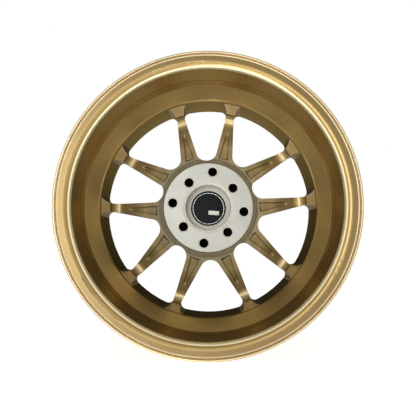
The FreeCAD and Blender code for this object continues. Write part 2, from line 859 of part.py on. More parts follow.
def valve_grommet():
    """The rubber seal under the stem's head, with a collar in the hole."""
    head_end = d.valve_head_start + d.valve_head_height
    return move_to_valve(turned_piece("valve_grommet", [
        (d.valve_shank_radius, head_end),
        (d.grommet_radius, head_end),
        (d.grommet_radius, d.valve_inner_spot),
        (d.valve_hole_radius, d.valve_inner_spot),
        (d.valve_hole_radius, d.grommet_collar_end),
        (d.valve_shank_radius, d.grommet_collar_end),
    ]))


def valve_nut():
    """The hexagon nut that clamps the stem."""
    start = d.valve_outer_spot + d.washer_thickness
    blank = doc.addObject("Part::Prism", "valve_nut_blank")
    blank.Polygon = 6
    blank.setExpression("Circumradius", f"{d.nut_flats.formula} / 2 / cos(30)")
    drive(blank, "Height", d.nut_height)
    bore = doc.addObject("Part::Cylinder", "valve_nut_bore")
    drive(bore, "Radius", d.valve_shank_radius)
    drive(bore, "Height", d.nut_height)
    nut = doc.addObject("Part::Cut", "valve_nut")
    nut.Label = "valve_nut"
    nut.Base = blank
    nut.Tool = bore
    nut.Placement = Placement(Vector(0, plain(start + d.nut_height), 0), Rotation(Vector(1, 0, 0), 90))
    drive(nut, "Placement.Base.y", start + d.nut_height)
    return move_to_valve(nut)


def valve_core():
    """The core's barrel: a guide for the pin at its foot and a groove for its seal."""
    neck_end = d.core_start + d.core_neck_height
    return move_to_valve(turned_piece("valve_core", [
        (d.core_neck_radius, d.core_start),
        (d.valve_bore_radius, d.core_start),
        (d.valve_bore_radius, d.core_groove_start),
        (d.core_groove_radius, d.core_groove_start),
        (d.core_groove_radius, d.core_groove_end),
        (d.valve_bore_radius, d.core_groove_end),
        (d.valve_bore_radius, d.core_end),
        (d.core_bore_radius, d.core_end),
        (d.core_bore_radius, neck_end),
        (d.core_neck_radius, neck_end),
    ]))


def valve_core_pin():
    """The pin that opens the valve, with the collar that its spring pushes on."""
    collar_end = d.pin_collar_place + d.pin_collar_height
    return move_to_valve(turned_piece("valve_core_pin", [
        (NOTHING, d.pin_start),
        (d.pin_radius, d.pin_start),
        (d.pin_radius, d.pin_collar_place),
        (d.pin_collar_radius, d.pin_collar_place),
        (d.pin_collar_radius, collar_end),
        (d.pin_radius, collar_end),
        (d.pin_radius, d.pin_end),
        (NOTHING, d.pin_end),
    ]))


def valve_core_spring():
    """The coil spring round the pin."""
    length = (d.spring_end - d.spring_start).number
    radius = d.spring_radius.number
    coil = Part.makeHelix(length / d.spring_turns.number, length, radius)
    wire = Part.Wire([Part.makeCircle(d.spring_wire.number / 2, Vector(radius, 0, 0), Vector(0, 1, 0))])
    spring = doc.addObject("Part::Feature", "valve_core_spring")
    spring.Label = "valve_core_spring"
    spring.Shape = Part.Wire(coil).makePipeShell([wire], True, True)
    spring.Placement = Placement(Vector(0, d.spring_end.number, 0), Rotation(Vector(1, 0, 0), 90))
    return move_to_valve(spring)


def dust_cap():
    """The screw-on cap over the valve's tip."""
    roof = d.dust_cap_end - d.dust_cap_roof
    return move_to_valve(turned_piece("valve_dust_cap", [
        (d.dust_cap_bore, d.dust_cap_start),
        (d.dust_cap_radius, d.dust_cap_start),
        (d.dust_cap_radius, d.dust_cap_end, d.dust_cap_round),
        (NOTHING, d.dust_cap_end),
        (NOTHING, roof),
        (d.dust_cap_bore, roof),
    ]))


# ---------------------------------------------------------------- the whole wheel


def build_wheel():
    """Every separate piece of the wheel, in the order that it is put together."""
    cap_recess_floor = d.cap_front_place - d.cap_recess_depth
    seal_place = d.cap_seat_place + d.part_gap + d.cap_seal_thickness / 2
    roof = d.dust_cap_end - d.dust_cap_roof
    washer_end = d.valve_outer_spot + d.washer_thickness
    poppet_end = d.core_start - d.part_gap
    pieces = [
        barrel(),
        wheel_centre(),
        hole_plugs("hole_plugs_small_circle", d.small_circle, d.small_circle_angle),
        hole_plugs("hole_plugs_large_circle", d.large_circle, d.large_circle_angle),
        centre_cap(),
        ring("cap_wire_ring", d.wire_ring_radius, d.wire_thickness, d.wire_ring_place),
        ring("cap_seal", d.cap_seal_radius, d.cap_seal_thickness, seal_place),
        disc("cap_emblem_adhesive", d.adhesive_radius, cap_recess_floor, d.adhesive_thickness),
        disc("cap_emblem", d.emblem_radius, cap_recess_floor + d.adhesive_thickness, d.emblem_thickness),
        rear_label(),
        valve_stem(),
        valve_grommet(),
        tube("valve_washer", d.valve_shank_radius, d.washer_radius, d.valve_outer_spot, washer_end),
        valve_nut(),
        valve_core(),
        tube("valve_core_seal", d.core_groove_radius, d.valve_bore_radius,
             d.core_groove_start, d.core_groove_end),
        valve_core_pin(),
        tube("valve_core_poppet", d.pin_radius, d.poppet_radius, poppet_end - d.poppet_height, poppet_end),
        valve_core_spring(),
        dust_cap(),
        move_to_valve(disc("valve_dust_cap_seal", d.dust_seal_radius,
                           roof - d.dust_seal_thickness, d.dust_seal_thickness)),
    ]
    doc.recompute()
    return pieces


def check_and_export(pieces):
    """Stop if anything failed, then write each piece to its own file."""
    for item in doc.Objects:
        if "Invalid" in item.State or "Error" in item.State:
            raise RuntimeError(f"{item.Label} failed: {item.State}")
    for piece in pieces:
        if piece.Shape.isNull() or not piece.Shape.isValid():
            raise RuntimeError(f"{piece.Label} has no valid shape")
    os.makedirs("parts", exist_ok=True)
    for piece in pieces:
        piece.Shape.exportStep(os.path.join("parts", f"{piece.Label}.step"))
        box = piece.Shape.BoundBox
        print(f"{piece.Label}: {len(piece.Shape.Solids)} solids, {piece.Shape.Volume:.1f} mm3,"
              f" {box.XLength:.2f} x {box.YLength:.2f} x {box.ZLength:.2f} mm")


check_and_export(build_wheel())
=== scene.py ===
"""Looks of the forged racing wheel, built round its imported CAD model.

Units are metres, in the row's own frame: the wheel is centred on the origin, turns about Y and
stands on a floor below it along -Z. The camera looks along +Y, at the inboard side.
"""

import math

import bpy
from mathutils import Matrix, Vector


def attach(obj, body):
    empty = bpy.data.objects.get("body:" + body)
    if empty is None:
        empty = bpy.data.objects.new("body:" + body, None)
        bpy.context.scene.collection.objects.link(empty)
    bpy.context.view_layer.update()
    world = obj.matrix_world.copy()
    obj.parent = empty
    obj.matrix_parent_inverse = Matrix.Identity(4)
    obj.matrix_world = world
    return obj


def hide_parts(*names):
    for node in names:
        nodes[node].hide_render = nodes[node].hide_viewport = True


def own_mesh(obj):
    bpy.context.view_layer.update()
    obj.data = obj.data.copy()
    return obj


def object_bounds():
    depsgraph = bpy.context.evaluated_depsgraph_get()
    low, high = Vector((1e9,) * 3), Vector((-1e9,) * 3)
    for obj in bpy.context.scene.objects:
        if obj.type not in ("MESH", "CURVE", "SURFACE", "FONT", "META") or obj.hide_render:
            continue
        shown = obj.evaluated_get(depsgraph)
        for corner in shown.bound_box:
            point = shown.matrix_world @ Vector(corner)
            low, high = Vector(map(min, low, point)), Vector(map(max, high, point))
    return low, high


MM = 0.001

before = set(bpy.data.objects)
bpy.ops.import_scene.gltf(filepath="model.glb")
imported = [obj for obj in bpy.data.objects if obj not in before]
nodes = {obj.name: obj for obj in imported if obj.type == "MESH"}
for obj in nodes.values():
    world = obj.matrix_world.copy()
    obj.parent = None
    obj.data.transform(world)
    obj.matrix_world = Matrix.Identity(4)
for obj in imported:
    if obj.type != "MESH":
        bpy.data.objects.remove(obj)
cad_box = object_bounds()


# ---------------------------------------------------------------- materials


class Recipe:
    """One material's node tree. Coordinates are the object's own, which are the row's frame."""

    def __init__(self, name):
        self.material = bpy.data.materials.new(name)
        self.material.use_nodes = True
        self.tree = self.material.node_tree
        self.shader = self.tree.nodes["Principled BSDF"]
        self.position = self.add("ShaderNodeTexCoord").outputs["Object"]
        split = self.add("ShaderNodeSeparateXYZ", Vector=self.position)
        x, self.y, z = split.outputs
        flat = self.add("ShaderNodeCombineXYZ", X=x, Z=z).outputs[0]
        self.radius = self.add("ShaderNodeVectorMath", "LENGTH", **{"0": flat}).outputs["Value"]
        self.angle = self.maths("ARCTAN2", z, x)

    def plug(self, node, socket, value):
        """Links value to a node's input, or sets it there if it is a constant."""
        target = node.inputs[int(socket)] if socket.isdigit() else node.inputs[socket]
        if isinstance(value, bpy.types.NodeSocket):
            self.tree.links.new(value, target)
        else:
            target.default_value = value

    def add(self, kind, operation=None, **inputs):
        node = self.tree.nodes.new(kind)
        if operation:
            node.operation = operation
        for socket, value in inputs.items():
            self.plug(node, socket, value)
        return node

    def maths(self, operation, *values):
        inputs = {str(i): v for i, v in enumerate(values)}
        return self.add("ShaderNodeMath", operation, **inputs).outputs[0]

    def noise(self, scale, detail=2.0, roughness=0.5, at=None):
        node = self.add(
            "ShaderNodeTexNoise",
            Vector=at or self.position,
            Scale=scale,
            Detail=detail,
            Roughness=roughness,
        )
        return node.outputs["Fac"]

    def flakes(self, scale):
        """Small cells, each with its own random colour."""
        node = self.add("ShaderNodeTexVoronoi", Vector=self.position, Scale=scale)
        return node.outputs["Color"]

    def span(self, value, low, high, to_low=0.0, to_high=1.0):
        """value's run from low to high, as a run from to_low to to_high, and no further."""
        node = self.tree.nodes.new("ShaderNodeMapRange")
        for i, entry in enumerate((value, low, high, to_low, to_high)):
            self.plug(node, str(i), entry)
        return node.outputs[0]

    def between(self, value, low, high, soft):
        """1 between low and high and 0 outside, with soft edges."""
        rise = self.span(value, low - soft, low + soft)
        fall = self.span(value, high - soft, high + soft, 1.0, 0.0)
        return self.maths("MULTIPLY", rise, fall)

    def ramp(self, value, low, high, stops):
        """A colour ramp over value; stops are (value, (r, g, b))."""
        node = self.tree.nodes.new("ShaderNodeValToRGB")
        elements = node.color_ramp.elements
        while len(elements) < len(stops):
            elements.new(0.5)
        for element, (place, colour) in zip(elements, stops):
            element.position = (place - low) / (high - low)
            element.color = (*colour, 1.0)
        self.plug(node, "Fac", self.span(value, low, high))
        return node.outputs["Color"]

    def mix(self, share, a, b):
        node = self.tree.nodes.new("ShaderNodeMix")
        node.data_type = "RGBA"
        node.clamp_factor = True
        for socket, value in ((0, share), (6, a), (7, b)):
            if isinstance(value, tuple) and len(value) == 3:
                value = (*value, 1.0)
            self.plug(node, str(socket), value)
        return node.outputs[2]

    def tint(self, colour, factor):
        """colour multiplied by a grey factor."""
        node = self.tree.nodes.new("ShaderNodeVectorMath")
        node.operation = "SCALE"
        self.plug(node, "0", colour)
        self.plug(node, "Scale", factor)
        return node.outputs[0]

    def lathe_marks(self, scale):
        """Noise that changes with the radius alone."""
        line = self.add("ShaderNodeCombineXYZ", X=self.radius).outputs[0]
        return self.noise(scale, 2.0, 0.6, line)

    def corner(self, reach):
        """1 in the open and less in a tight corner."""
        node = self.add("ShaderNodeAmbientOcclusion", Distance=reach)
        node.samples = 8
        return node.outputs["AO"]

    def rounded(self, radius):
        """A normal that rounds sharp edges."""
        node = self.add("ShaderNodeBevel", Radius=radius)
        node.samples = 4
        return node.outputs[0]

    def bump(self, height, distance, strength, under=None):
        inputs = {"Height": height, "Distance": distance, "Strength": strength}
        if under is not None:
            inputs["Normal"] = under
        return self.add("ShaderNodeBump", **inputs).outputs[0]

    def set(self, **sockets):
        """The shader's own inputs, by name, with _ for a space."""
        for socket, value in sockets.items():
            name = socket.replace("_", " ")
            if isinstance(value, tuple) and len(value) == 3:
                value = (*value, 1.0)
            self.plug(self.shader, name, value)


# Linear colours.
GOLD = (0.36, 0.26, 0.110)
GOLD_LIGHT = (0.46, 0.34, 0.15)
GOLD_SHADE = (0.28, 0.19, 0.075)
GOLD_INSIDE = (0.28, 0.19, 0.072)
GOLD_SLOPE = (0.46, 0.33, 0.14)
GOLD_DEEP = (0.42, 0.28, 0.095)
GOLD_FACE = (0.225, 0.158, 0.068)
OLIVE = (0.13, 0.098, 0.036)
# A dark line of painted shade at edges, creases and steps.
SHADE_LINE = (0.10, 0.065, 0.022)
# Painted highlights on the flange's lip.
LIP_CREAM_HIGHLIGHT = (0.66, 0.56, 0.33)
LIP_HIGHLIGHT = (0.95, 0.84, 0.55)
# Painted shade in the flange's groove, dark red.
GROOVE_SHADE_RED = (0.42, 0.25, 0.12)
SIDE_WALL_SHADE = (0.14, 0.092, 0.028)
FRONT_GOLD = (0.44, 0.33, 0.15)
FOOT_GOLD = (0.52, 0.42, 0.24)
SPOKE_GOLD = (0.43, 0.33, 0.15)
SPOKE_HIGHLIGHT = (0.56, 0.44, 0.22)
SPOKE_WARM = (0.48, 0.40, 0.22)
SPOKE_PALE = (0.64, 0.53, 0.30)
HUB_GREY = (0.47, 0.44, 0.32)
HUB_PAD_SHADOW = (0.26, 0.24, 0.17)
RELIEF_ROOT_SHADE = (0.085, 0.065, 0.032)
RELIEF_GLINT = (1.0, 0.92, 0.66)
MACHINED = (0.44, 0.445, 0.405)
MACHINED_SHADE = (0.27, 0.28, 0.27)
MOUTH_HIGHLIGHT = (0.92, 0.91, 0.82)
BORE_WALL = (0.97, 0.97, 0.90)
BORE_GREY = (0.70, 0.71, 0.66)
BORE_BLUE = (0.62, 0.67, 0.72)
HOLE_WALL_SHADE = (0.012, 0.012, 0.012)
PLASTIC = (0.002, 0.004, 0.004)
# Near-black, standing in for the shade inside the stud holes.
PLUG_HOLE_SHADE = (0.0015, 0.0015, 0.0015)
RUBBER = (0.014, 0.014, 0.014)
ADHESIVE = (0.20, 0.17, 0.10)
STEEL = (0.62, 0.63, 0.65)
ALUMINIUM = (0.72, 0.72, 0.71)
BRASS = (0.70, 0.47, 0.16)
EMBLEM = (0.30, 0.22, 0.10)
PAPER = (0.90, 0.88, 0.76)
STUDIO_WHITE = (0.35, 0.35, 0.35)

GOLD_SHEEN = (0.90, 0.68, 0.34)
CENTRE_SHEEN = (0.95, 0.80, 0.55)
BARREL_METALLIC = 0.85
PAINT_METALLIC = 0.6
PAINT_ROUGHNESS = 0.36
FACE_ROUGHNESS = 0.30
MACHINED_ROUGHNESS = 0.45

# The barrel. Colours of the flange's face by radius, and of the rest by place along the axle, partly
# painted light and shade.
FACE_RADII = (0.140, 0.2080)
# On the flange's face: a painted highlight band near its inner edge, two thin painted highlight lines
# near the tip, and a tip made lighter, partly painted highlight.
FACE_COLOURS = [
    (0.1700, GOLD_INSIDE),
    (0.1838, GOLD_SHADE),
    (0.1844, LIP_HIGHLIGHT),
    (0.1874, LIP_HIGHLIGHT),
    (0.1882, GOLD_LIGHT),
    (0.1895, GOLD_DEEP),
    (0.1908, GOLD_DEEP),
    (0.1925, GOLD_FACE),
    (0.2006, GOLD_FACE),
    (0.2012, LIP_CREAM_HIGHLIGHT),
    (0.2020, LIP_CREAM_HIGHLIGHT),
    # Painted shade in the groove, dark red.
    (0.2026, GROOVE_SHADE_RED),
    (0.2038, GROOVE_SHADE_RED),
    (0.2046, LIP_CREAM_HIGHLIGHT),
    (0.2060, LIP_CREAM_HIGHLIGHT),
    (0.2068, GOLD_LIGHT),
    (0.2078, GOLD_LIGHT),
]
BARREL_PLACES = (-0.115, 0.115)
# Along the barrel the paint is darker inside, has a dark line of painted shade at the step, is lighter
# on the slope and dark olive in the well. These tones are partly painted light and shade.
BARREL_COLOURS = [
    (-0.1040, GOLD_SHADE),
    (-0.0980, GOLD_INSIDE),
    (-0.0575, GOLD_INSIDE),
    (-0.0565, SHADE_LINE),
    (-0.0535, SHADE_LINE),
    (-0.0525, GOLD_INSIDE),
    (-0.0320, GOLD_INSIDE),
    (-0.0300, GOLD_SLOPE),
    (0.0000, GOLD_SLOPE),
    (0.0060, GOLD_SLOPE),
    (0.0110, OLIVE),
    (0.0300, OLIVE),
    (0.0760, OLIVE),
    (0.0830, GOLD_SHADE),
    (0.1100, GOLD),
]
# Each pair is where one zone fades into the next.
FACE_END = (-0.1060, -0.1040)
OUTER_SIDE = (0.1700, 0.1705)
WELL_START = (0.0000, 0.0030)
SKIRT_EDGE = (0.1852, 0.1856)
# The small step in the barrel's bore, which is left rougher than the rest.
STEP = (-0.0565, -0.0535)
STEP_SOFT = 0.0003

# The wheel centre. Colours of its paint by radius, and of its bore by place along the axle, both partly
# painted light and shade.
CENTRE_RADII = (0.070, 0.170)
CENTRE_COLOURS = [
    # Painted shadow round the pad's edge: the dark line and the darker band after it.
    (0.0714, SHADE_LINE),
    (0.0722, HUB_PAD_SHADOW),
    (0.0745, HUB_GREY),
    (0.0860, HUB_GREY),
    (0.0920, SPOKE_WARM),
    # Spokes made paler near 105 mm, partly painted light.
    (0.1050, SPOKE_PALE),
    (0.1200, SPOKE_GOLD),
    (0.1400, SPOKE_GOLD),
    # A painted highlight band where each spoke's back bends.
    (0.1450, SPOKE_HIGHLIGHT),
    (0.1560, SPOKE_HIGHLIGHT),
    (0.1590, SPOKE_GOLD),
    # Dark lines of painted shade at the creases near the rim, with a thin painted highlight between
    # them, then a foot made lighter, partly painted light.
    (0.1598, SHADE_LINE),
    (0.1603, SPOKE_HIGHLIGHT),
    (0.1607, SPOKE_HIGHLIGHT),
    (0.1612, SHADE_LINE),
    (0.1617, SHADE_LINE),
    (0.1630, FOOT_GOLD),
    (0.1690, FOOT_GOLD),
]
BORE_PLACES = (0.020, 0.055)
# The bands down the bore are partly painted light and shade.
BORE_COLOURS = [
    (0.0240, BORE_GREY),
    (0.0262, BORE_GREY),
    (0.0275, BORE_WALL),
    (0.0330, BORE_WALL),
    (0.0400, BORE_BLUE),
    (0.0480, BORE_BLUE),
    (0.0515, BORE_GREY),
]
PAD_EDGE = (0.0712, 0.0715)
PAD_DEPTH = (0.0216, 0.0220)
BORE_EDGE = (0.0403, 0.0407)
BORE_END = (0.0512, 0.0518)
# The chamfer at the bore's mouth, and where the bore itself starts.
MOUTH_START = 0.02008
BORE_START = 0.0240
# The ring that the stud holes lie in, and how deep they go.
HOLE_RADII = (0.0415, 0.0700)
HOLE_PLACES = (0.0216, 0.0600)

# Spokes come in pairs. Places in a pair are (along, across) its centreline.
PAIR_ANGLE = math.radians(72.0)
FIRST_PAIR = math.radians(20.0)
# A spoke's back: it climbs from one place along the axle to another between two radii.
SPOKE_BACK_RADII = (0.080, 0.1589)
SPOKE_BACK_PLACES = (0.0305, 0.07445)
SPOKE_FRONT = (0.0065, 0.0070)
# The milled relief in it: its round tip, the middle of its square root, the way that it runs, and
# half the root's width.
RELIEF_TIP = (0.1247, 0.0367)
RELIEF_TIP_RADII = (0.0016, 0.0034)
RELIEF_WALL = (0.0004, 0.0009)
RELIEF_ROOT = (0.07862, 0.02722)
RELIEF_RUN = (0.9796, 0.2011)
RELIEF_HALF_ROOT = 0.0077
# Where the line of painted shade lies along the run from the relief's root, and how soft its edges are.
ROOT_SHADE_RUN = (-0.0002, 0.0019)
ROOT_SHADE_SOFT = 0.0002
# How much of a surface's normal runs along the axle, on the side walls and on the front.
WALL_FACING = (0.03, 0.13)
FRONT_FACING = (0.15, 0.35)
# Half a fade that is too short to see.
HARD_EDGE = 0.0001


def gold_finish(recipe, colour, roughness, metallic):
    """The metallic gold coat: flakes, slight orange peel, uneven tone, and painted shade in the
    corners.
    """
    sparkle = recipe.add("ShaderNodeSeparateColor", Color=recipe.flakes(2600.0)).outputs[0]
    tone = recipe.noise(26.0, 3.0)
    shade = recipe.maths(
        "ADD",
        recipe.span(sparkle, 0, 1, 0.96, 1.04),
        recipe.span(tone, 0.3, 0.7, -0.05, 0.05),
    )
    # Ambient occlusion darkens the colour in corners and crevices: painted shade.
    open_air = recipe.corner(0.004)
    shade = recipe.maths("MULTIPLY", shade, recipe.span(open_air, 0.3, 0.9, 0.55, 1.0))
    soft_edges = recipe.rounded(0.0011)
    peel = recipe.bump(recipe.noise(420.0, 2.0), 0.00001, 0.4, soft_edges)
    grain = recipe.bump(sparkle, 0.000004, 0.2, peel)
    recipe.set(
        Base_Color=recipe.tint(colour, shade),
        Metallic=metallic,
        Roughness=roughness,
        Normal=grain,
        Coat_Weight=0.08,
        Coat_Roughness=0.16,
        Coat_IOR=1.5,
        Specular_Tint=GOLD_SHEEN,
        Specular_IOR_Level=0.3,
    )
    return grain


def barrel_paint():
    """Gold paint on the barrel, with the fine turning rings that show through on the flange face, and
    bands of painted highlight and shade on the face and along the barrel.
    """
    recipe = Recipe("barrel_gold_paint")
    # The flange face's colour bands, partly painted highlights and painted shade.
    rings = recipe.ramp(recipe.radius, *FACE_RADII, FACE_COLOURS)
    on_face = recipe.span(recipe.y, *FACE_END, 1.0, 0.0)
    along_barrel = recipe.ramp(recipe.y, *BARREL_PLACES, BARREL_COLOURS)
    outer_side = recipe.span(recipe.radius, *OUTER_SIDE)
    within = recipe.span(recipe.y, *WELL_START)
    well_outside = recipe.maths("MULTIPLY", outer_side, within)
    past_skirt = recipe.span(recipe.radius, *SKIRT_EDGE)
    outside = recipe.maths("MAXIMUM", well_outside, past_skirt)
    along_barrel = recipe.mix(outside, along_barrel, GOLD)
    colour = recipe.mix(on_face, along_barrel, rings)
    lathe = recipe.lathe_marks(5200.0)
    turning = recipe.maths("MULTIPLY", recipe.span(lathe, 0.3, 0.7, -1.0, 1.0), on_face)
    shade = recipe.span(turning, -1.0, 1.0, 0.97, 1.03)
    step = recipe.between(recipe.y, *STEP, STEP_SOFT)
    smooth = recipe.span(on_face, 0, 1, PAINT_ROUGHNESS, FACE_ROUGHNESS)
    roughness = recipe.maths("ADD", smooth, recipe.span(step, 0, 1, 0.0, 0.5))
    grain = gold_finish(recipe, recipe.tint(colour, shade), roughness, BARREL_METALLIC)
    recipe.set(Normal=recipe.bump(turning, 0.000005, 0.3, grain))
    return recipe.material


def fold_to_spoke(recipe):
    """The place in a frame where every spoke is the same one: (along, across) its pair's centreline."""
    turned = recipe.maths("SUBTRACT", recipe.angle, FIRST_PAIR - PAIR_ANGLE / 2)
    local = recipe.maths(
        "SUBTRACT", recipe.maths("FLOORED_MODULO", turned, PAIR_ANGLE), PAIR_ANGLE / 2
    )
    across = recipe.maths("ABSOLUTE", recipe.maths("SINE", local))
    along = recipe.maths("COSINE", local)
    return (
        recipe.maths("MULTIPLY", recipe.radius, along),
        recipe.maths("MULTIPLY", recipe.radius, across),
    )


def relief_marks(recipe, colour):
    """colour, with a painted highlight at each relief's tip and a dark line of painted shade along its
    square root.
    """
    along, across = fold_to_spoke(recipe)
    tip_along = recipe.maths("SUBTRACT", along, RELIEF_TIP[0])
    tip_across = recipe.maths("SUBTRACT", across, RELIEF_TIP[1])
    to_tip = recipe.add("ShaderNodeCombineXYZ", X=tip_along, Y=tip_across).outputs[0]
    tip_gap = recipe.add("ShaderNodeVectorMath", "LENGTH", **{"0": to_tip}).outputs["Value"]
    plane = recipe.span(recipe.radius, *SPOKE_BACK_RADII, *SPOKE_BACK_PLACES)
    depth = recipe.maths("SUBTRACT", recipe.y, plane)
    below_back = recipe.span(depth, *RELIEF_WALL)
    short_of_front = recipe.span(depth, *SPOKE_FRONT, 1.0, 0.0)
    # A painted highlight at each relief's tip.
    tip = recipe.maths("MULTIPLY", recipe.span(tip_gap, *RELIEF_TIP_RADII, 1.0, 0.0), below_back)
    tip = recipe.maths("MULTIPLY", tip, short_of_front)
    colour = recipe.mix(tip, colour, RELIEF_GLINT)
    root_along = recipe.maths("SUBTRACT", along, RELIEF_ROOT[0])
    root_across = recipe.maths("SUBTRACT", across, RELIEF_ROOT[1])
    run = recipe.maths(
        "ADD",
        recipe.maths("MULTIPLY", root_along, RELIEF_RUN[0]),
        recipe.maths("MULTIPLY", root_across, RELIEF_RUN[1]),
    )
    beside = recipe.maths(
        "SUBTRACT",
        recipe.maths("MULTIPLY", root_across, RELIEF_RUN[0]),
        recipe.maths("MULTIPLY", root_along, RELIEF_RUN[1]),
    )
    half = recipe.maths("ABSOLUTE", beside)
    on_root = recipe.span(half, RELIEF_HALF_ROOT, RELIEF_HALF_ROOT + 0.0003, 1.0, 0.0)
    root_shade = recipe.between(run, *ROOT_SHADE_RUN, ROOT_SHADE_SOFT)
    root_shade = recipe.maths("MULTIPLY", root_shade, on_root)
    root_shade = recipe.maths("MULTIPLY", root_shade, short_of_front)
    return recipe.mix(root_shade, colour, RELIEF_ROOT_SHADE)


def machined_metal(recipe, turned, mouth, in_bore):
    """The bare metal's colour: stained on the pad, a painted highlight at the bore's mouth, and bands
    of painted light and shade down the bore.
    """
    stain = recipe.noise(38.0, 4.0, 0.6)
    metal = recipe.mix(recipe.span(stain, 0.35, 0.75, 0.0, 0.35), MACHINED, MACHINED_SHADE)
    metal = recipe.tint(metal, recipe.span(turned, 0.3, 0.7, 0.95, 1.05))
    # A painted highlight on the chamfer at the bore's mouth.
    metal = recipe.mix(mouth, metal, MOUTH_HIGHLIGHT)
    wall = recipe.ramp(recipe.y, *BORE_PLACES, BORE_COLOURS)
    wall = recipe.tint(wall, recipe.span(turned, 0.3, 0.7, 0.85, 1.1))
    return recipe.mix(in_bore, metal, wall)


def centre_paint():
    """Gold paint on the wheel centre, and bare machined metal on its mounting pad and bore."""
    recipe = Recipe("centre_paint_and_machined_pad")
    radius, y = recipe.radius, recipe.y
    pad_face = recipe.maths(
        "MULTIPLY",
        recipe.span(radius, *PAD_EDGE, 1.0, 0.0),
        recipe.span(y, *PAD_DEPTH, 1.0, 0.0),
    )
    bore = recipe.maths(
        "MULTIPLY",
        recipe.span(radius, *BORE_EDGE, 1.0, 0.0),
        recipe.span(y, *BORE_END, 1.0, 0.0),
    )
    bare = recipe.maths("MAXIMUM", pad_face, bore)
    # The radius ramp and relief_marks hold painted highlights and painted shade.
    gold = relief_marks(recipe, recipe.ramp(radius, *CENTRE_RADII, CENTRE_COLOURS))
    normal = recipe.add("ShaderNodeNewGeometry").outputs["Normal"]
    facing = recipe.add("ShaderNodeSeparateXYZ", Vector=normal).outputs[1]
    # Surfaces that face sideways, across the axle, are darkened: painted shade on the side walls.
    side_wall_shade = recipe.span(recipe.maths("ABSOLUTE", facing), *WALL_FACING, 1.0, 0.0)
    gold = recipe.mix(side_wall_shade, gold, SIDE_WALL_SHADE)
    gold = recipe.mix(recipe.span(facing, *FRONT_FACING), gold, FRONT_GOLD)
    painted_normal = gold_finish(recipe, gold, PAINT_ROUGHNESS, PAINT_METALLIC)
    painted_colour = recipe.shader.inputs["Base Color"].links[0].from_socket
    turned = recipe.lathe_marks(4200.0)
    mouth = recipe.between(y, MOUTH_START, BORE_START, 0.00004)
    in_bore = recipe.maths("GREATER_THAN", y, BORE_START)
    metal = machined_metal(recipe, turned, mouth, in_bore)
    # The stud holes' walls are painted near-black: painted shade.
    beside_axle = recipe.between(radius, *HOLE_RADII, HARD_EDGE)
    in_hole = recipe.maths("MULTIPLY", beside_axle, recipe.between(y, *HOLE_PLACES, HARD_EDGE))
    metal_normal = recipe.bump(turned, 0.00001, 0.4, recipe.rounded(0.0006))
    colour = recipe.mix(in_hole, recipe.mix(bare, painted_colour, metal), HOLE_WALL_SHADE)
    bright = recipe.maths("MAXIMUM", mouth, in_bore)
    metallic = recipe.span(bare, 0, 1, PAINT_METALLIC, recipe.span(bright, 0, 1, 0.6, 0.25))
    normal = recipe.add("ShaderNodeMix")
    normal.data_type = "VECTOR"
    recipe.plug(normal, "0", bare)
    recipe.plug(normal, "4", painted_normal)
    recipe.plug(normal, "5", metal_normal)
    recipe.set(
        Base_Color=colour,
        Normal=normal.outputs[1],
        Roughness=recipe.span(bare, 0, 1, PAINT_ROUGHNESS, MACHINED_ROUGHNESS),
        Metallic=metallic,
        Coat_Weight=0.05,
        Specular_Tint=CENTRE_SHEEN,
    )
    return recipe.material


def darker(colour, share):
    """share of a colour's light."""
    return tuple(part * share for part in colour)


def plastic(name, colour, roughness, grain_scale=1600.0, shine=0.5, smudge=0.35):
    """Moulded plastic or rubber with a fine grain, paler where it is handled."""
    recipe = Recipe(name)
    grain = recipe.noise(grain_scale, 2.0)
    wear = recipe.noise(90.0, 5.0, 0.65)
    worn = tuple(part * 2.2 + 0.003 for part in colour)
    recipe.set(
        Base_Color=recipe.mix(recipe.span(wear, 0.45, 0.75, 0.0, smudge), colour, worn),
        Roughness=recipe.span(wear, 0.3, 0.7, roughness - 0.06, roughness + 0.08),
        Normal=recipe.bump(grain, 0.00003, 0.4),
        Specular_IOR_Level=shine,
    )
    return recipe.material


def bright_metal(name, colour, roughness, ring_count=9000.0):
    """Turned metal with fine rings round the axle and a patchy tone."""
    recipe = Recipe(name)
    rings = recipe.maths("SINE", recipe.maths("MULTIPLY", recipe.radius, ring_count))
    patch = recipe.noise(120.0, 3.0)
    patchy = recipe.mix(patch, colour, darker(colour, 0.8))
    recipe.set(
        Base_Color=recipe.tint(patchy, recipe.span(rings, -1, 1, 0.95, 1.05)),
        Metallic=1.0,
        Roughness=recipe.span(patch, 0.3, 0.7, roughness - 0.05, roughness + 0.07),
        Normal=recipe.bump(rings, 0.00001, 0.4),
    )
    return recipe.material


def paper(name, colour):
    """Stained paper with a fibre grain."""
    recipe = Recipe(name)
    fibre = recipe.noise(1500.0, 4.0, 0.7)
    stain = recipe.noise(110.0, 3.0)
    stained = recipe.mix(recipe.span(stain, 0.4, 0.8, 0, 0.4), colour, darker(colour, 0.72))
    recipe.set(
        Base_Color=recipe.tint(stained, recipe.span(fibre, 0.2, 0.8, 0.93, 1.05)),
        Roughness=0.62,
        Normal=recipe.bump(fibre, 0.00003, 0.5),
    )
    return recipe.material


gold_barrel = barrel_paint()
gold_centre = centre_paint()
cap_plastic = plastic("cap_black_plastic", PLASTIC, 0.24, grain_scale=700.0, shine=0.08, smudge=1.0)
# The stud-hole plugs are near-black, standing in for the shade inside the holes.
plug_hole_shade = plastic("plug_black_plastic", PLUG_HOLE_SHADE, 0.55, shine=0.12, smudge=0.3)
black_rubber = plastic("black_rubber", RUBBER, 0.62, grain_scale=900.0)
spring_steel = bright_metal("spring_steel", STEEL, 0.16)
bare_aluminium = bright_metal("bare_aluminium", ALUMINIUM, 0.34)
brass = bright_metal("brass", BRASS, 0.28)
emblem_metal = bright_metal("emblem_metal", EMBLEM, 0.32, ring_count=5200.0)
label = paper("label_paper", PAPER)
adhesive = plastic("adhesive", ADHESIVE, 0.5)

